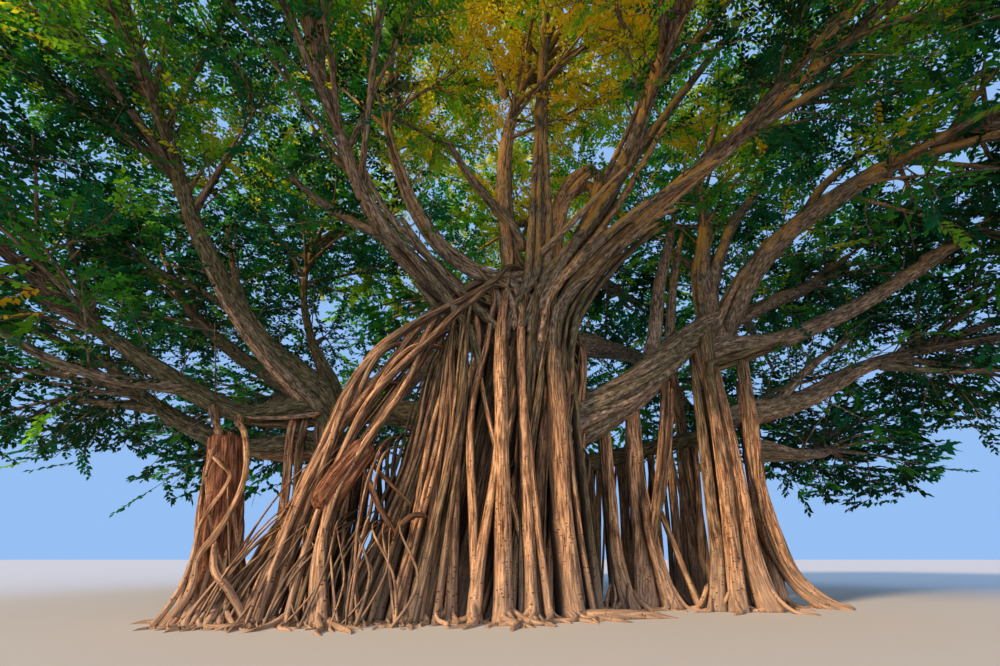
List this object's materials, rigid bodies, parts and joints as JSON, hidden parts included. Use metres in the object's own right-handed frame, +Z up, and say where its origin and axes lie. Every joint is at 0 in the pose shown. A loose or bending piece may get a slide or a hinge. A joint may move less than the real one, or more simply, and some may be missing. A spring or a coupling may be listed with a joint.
{
  "type": "banyan tree",
  "caption": "Wide banyan: trunk of fused aerial roots, slanting root fan, prop roots, braided bough, long boughs and an umbrella crown of foliage masses.",
  "frame": {"origin": "centre of the flat cut under the trunk, at ground level", "axes": "+Z up; +X to the tree's right as the picture sees it; the picture looks along +Y"},
  "size_m": [36.0633, 28.4783, 18.5781],
  "materials": {
    "root_bark": "tan to orange-brown bark of aerial roots, long vertical grooves, small specks and lenticels",
    "bough_bark": "grey-brown bark with fine cross lines, knots and grey-green patches",
    "dead_wood": "reddish brown fibrous dead bark, split along its length",
    "leaf_green": "small glossy fig leaves, deep green in shade to yellow-green and golden where lit"
  },
  "bodies": {
    "root": {"arched_bough": "bough_bark", "back_bough_1": "bough_bark", "back_bough_2": "bough_bark", "back_bough_3": "bough_bark", "back_bough_4": "bough_bark", "back_bough_5": "bough_bark", "braided_bough": "bough_bark", "centre_bough_1": "bough_bark", "centre_bough_2": "bough_bark", "centre_bough_3": "bough_bark", "centre_bough_4": "bough_bark", "centre_bough_5": "bough_bark", "centre_bough_6": "bough_bark", "foliage_back": "leaf_green", "foliage_back_left": "leaf_green", "foliage_back_right": "leaf_green", "foliage_front_left": "leaf_green", "foliage_front_right": "leaf_green", "foliage_high_left": "leaf_green", "foliage_high_right": "leaf_green", "foliage_left_back": "leaf_green", "foliage_left_front": "leaf_green", "foliage_left_high": "leaf_green", "foliage_left_low": "leaf_green", "foliage_left_mid": "leaf_green", "foliage_left_top": "leaf_green", "foliage_right_front": "leaf_green", "foliage_right_high": "leaf_green", "foliage_right_low": "leaf_green", "foliage_right_mid": "leaf_green", "foliage_right_side": "leaf_green", "foliage_right_top": "leaf_green", "foliage_top_back": "leaf_green", "foliage_top_front": "leaf_green", "foliage_top_left": "leaf_green", "leaning_log": "dead_wood", "left_bough_1": "bough_bark", "left_bough_1_fork": "bough_bark", "left_bough_2": "bough_bark", "left_bough_3": "bough_bark", "left_bough_4": "bough_bark", "left_bough_5": "bough_bark", "left_bough_6": "bough_bark", "left_link_bough": "bough_bark", "left_root_fan": "root_bark", "left_stump": "dead_wood", "left_trunk": "root_bark", "prop_root_1": "root_bark", "prop_root_2": "root_bark", "prop_root_3": "root_bark", "prop_root_4": "root_bark", "prop_root_5": "root_bark", "right_bough_1": "bough_bark", "right_bough_2": "bough_bark", "right_bough_3": "bough_bark", "right_bough_4": "bough_bark", "right_bough_5": "bough_bark", "right_bough_6": "bough_bark", "root_curtain": "root_bark", "trunk": "root_bark"}
  },
  "joints": []
}
